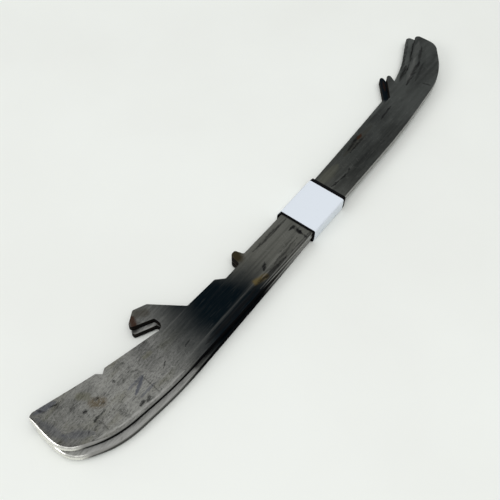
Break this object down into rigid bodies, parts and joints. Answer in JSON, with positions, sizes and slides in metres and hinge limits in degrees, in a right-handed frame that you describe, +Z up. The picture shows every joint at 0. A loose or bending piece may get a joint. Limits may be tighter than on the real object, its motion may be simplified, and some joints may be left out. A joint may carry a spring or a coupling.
{
  "type": "hockey skate blade",
  "caption": "Flat steel ice hockey skate runners with rear hook, latch nub, front spur and hollow-ground edge, held together by a labelled elastic band.",
  "frame": {"origin": "on the surface that the pair rests on, under the middle of the band", "axes": "+X along the upper runner towards its toe, +Y towards the mounting edges, +Z up from the surface"},
  "size_m": [0.2803, 0.0371, 0.0079],
  "materials": {
    "upper_steel": "worn, scratched, rust-spotted",
    "lower_steel": "worn, scratched",
    "band_elastic": "matte",
    "label_film": "smooth laminated strip"
  },
  "bodies": {
    "band": {"band": "band_elastic", "label": "label_film"},
    "upper_runner": {"upper_runner": "upper_steel"},
    "lower_runner": {"lower_runner": "lower_steel"}
  },
  "joints": [
    {"name": "upper_runner_slide", "type": "slide", "parent": "band", "child": "upper_runner", "axis": [1, 0, 0], "range_m": [-0.066, 0.026]},
    {"name": "lower_runner_fan", "type": "hinge", "parent": "band", "child": "lower_runner", "pos_m": [0, 0.0009, 0.00239], "axis": [0, 0, 1], "range_deg": [-1.6, 1.4]}
  ]
}
